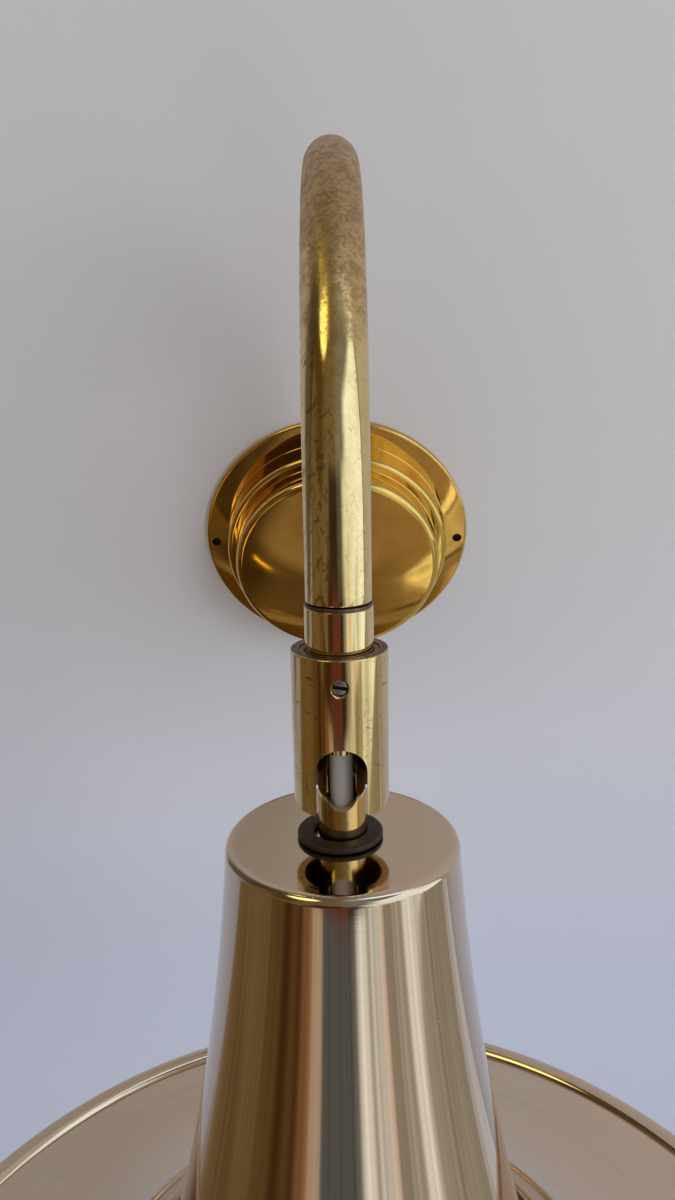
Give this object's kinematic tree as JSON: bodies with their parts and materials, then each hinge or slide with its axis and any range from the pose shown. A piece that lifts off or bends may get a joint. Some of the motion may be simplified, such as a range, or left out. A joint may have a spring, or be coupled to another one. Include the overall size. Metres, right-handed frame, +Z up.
{
  "type": "swing arm wall sconce",
  "caption": "Wall sconce: round stepped canopy, gooseneck swing arm, swivel and tilt knuckle, and a trumpet-shaped metal shade over a screw lampholder.",
  "frame": {"origin": "centre of the canopy's back, on the wall plane", "axes": "+Z up, +Y into the wall, +X to the right as seen from the room"},
  "size_m": [0.2902, 0.4236, 0.3307],
  "materials": {
    "canopy_shell": "polished, aged",
    "pivot_bracket": "polished, aged",
    "bracket_nipple": "zinc plated",
    "lock_washer": "zinc plated",
    "lock_nut": "zinc plated",
    "insulating_bush": "matt",
    "terminal_strap": "zinc plated",
    "terminal_block": "matt",
    "terminal_screw_live": "plain",
    "terminal_screw_neutral": "plain",
    "terminal_fixing_screw": "zinc plated",
    "earth_screw": "plain",
    "upper_bush": "matt nylon",
    "lower_bush": "matt nylon",
    "barrel_end_cap": "polished, aged",
    "swing_friction_screw": "zinc plated",
    "canopy_flex": "grey sheath",
    "arm_tube": "polished, tarnished in spots",
    "arm_collar": "polished, aged",
    "flex_ferrule": "turned",
    "thrust_collar": "polished, aged",
    "thrust_collar_screw": "zinc plated",
    "retaining_ring": "plain",
    "arm_flex": "grey sheath",
    "knuckle_sleeve": "polished, scratched",
    "swivel_bush": "bronze, dull",
    "sleeve_set_screw": "zinc plated",
    "pivot_screw_left": "zinc plated",
    "pivot_screw_right": "zinc plated",
    "pivot_spacer_left": "plain",
    "pivot_spacer_right": "plain",
    "knuckle_flex": "grey sheath",
    "tilt_stem": "polished",
    "stem_ring": "dark brown fibre",
    "shade": "pale, finely brushed round its axis",
    "shade_washer": "zinc plated",
    "shade_nut": "zinc plated",
    "lampholder_cap": "black",
    "lampholder_skirt": "black",
    "lampholder_core": "white ceramic",
    "screw_shell": "plain",
    "centre_contact": "plain",
    "holder_screw_live": "plain",
    "holder_screw_neutral": "plain",
    "head_flex": "grey sheath"
  },
  "bodies": {
    "base": {"canopy_shell": "canopy_shell", "pivot_bracket": "pivot_bracket", "bracket_nipple": "bracket_nipple", "lock_washer": "lock_washer", "lock_nut": "lock_nut", "insulating_bush": "insulating_bush", "terminal_strap": "terminal_strap", "terminal_block": "terminal_block", "terminal_screw_live": "terminal_screw_live", "terminal_screw_neutral": "terminal_screw_neutral", "terminal_fixing_screw": "terminal_fixing_screw", "earth_screw": "earth_screw", "upper_bush": "upper_bush", "lower_bush": "lower_bush", "barrel_end_cap": "barrel_end_cap", "swing_friction_screw": "swing_friction_screw", "canopy_flex": "canopy_flex"},
    "arm": {"arm_tube": "arm_tube", "arm_collar": "arm_collar", "flex_ferrule": "flex_ferrule", "thrust_collar": "thrust_collar", "thrust_collar_screw": "thrust_collar_screw", "retaining_ring": "retaining_ring", "arm_flex": "arm_flex"},
    "knuckle": {"knuckle_sleeve": "knuckle_sleeve", "swivel_bush": "swivel_bush", "sleeve_set_screw": "sleeve_set_screw", "pivot_screw_left": "pivot_screw_left", "pivot_screw_right": "pivot_screw_right", "pivot_spacer_left": "pivot_spacer_left", "pivot_spacer_right": "pivot_spacer_right", "knuckle_flex": "knuckle_flex"},
    "head": {"tilt_stem": "tilt_stem", "stem_ring": "stem_ring", "shade": "shade", "shade_washer": "shade_washer", "shade_nut": "shade_nut", "lampholder_cap": "lampholder_cap", "lampholder_skirt": "lampholder_skirt", "lampholder_core": "lampholder_core", "screw_shell": "screw_shell", "centre_contact": "centre_contact", "holder_screw_live": "holder_screw_live", "holder_screw_neutral": "holder_screw_neutral", "head_flex": "head_flex"}
  },
  "joints": [
    {"name": "arm_swing", "type": "hinge", "parent": "base", "child": "arm", "pos_m": [0, -0.0444, 0], "axis": [0, 0, 1], "range_deg": [-60, 60]},
    {"name": "head_swivel", "type": "hinge", "parent": "arm", "child": "knuckle", "pos_m": [0, -0.20127, 0.11617], "axis": [0, 0.4115, 0.9114], "range_deg": [-90, 90]},
    {"name": "shade_tilt", "type": "hinge", "parent": "knuckle", "child": "head", "pos_m": [0, -0.21497, 0.08582], "axis": [-1, 0, 0], "range_deg": [-15, 90]}
  ]
}
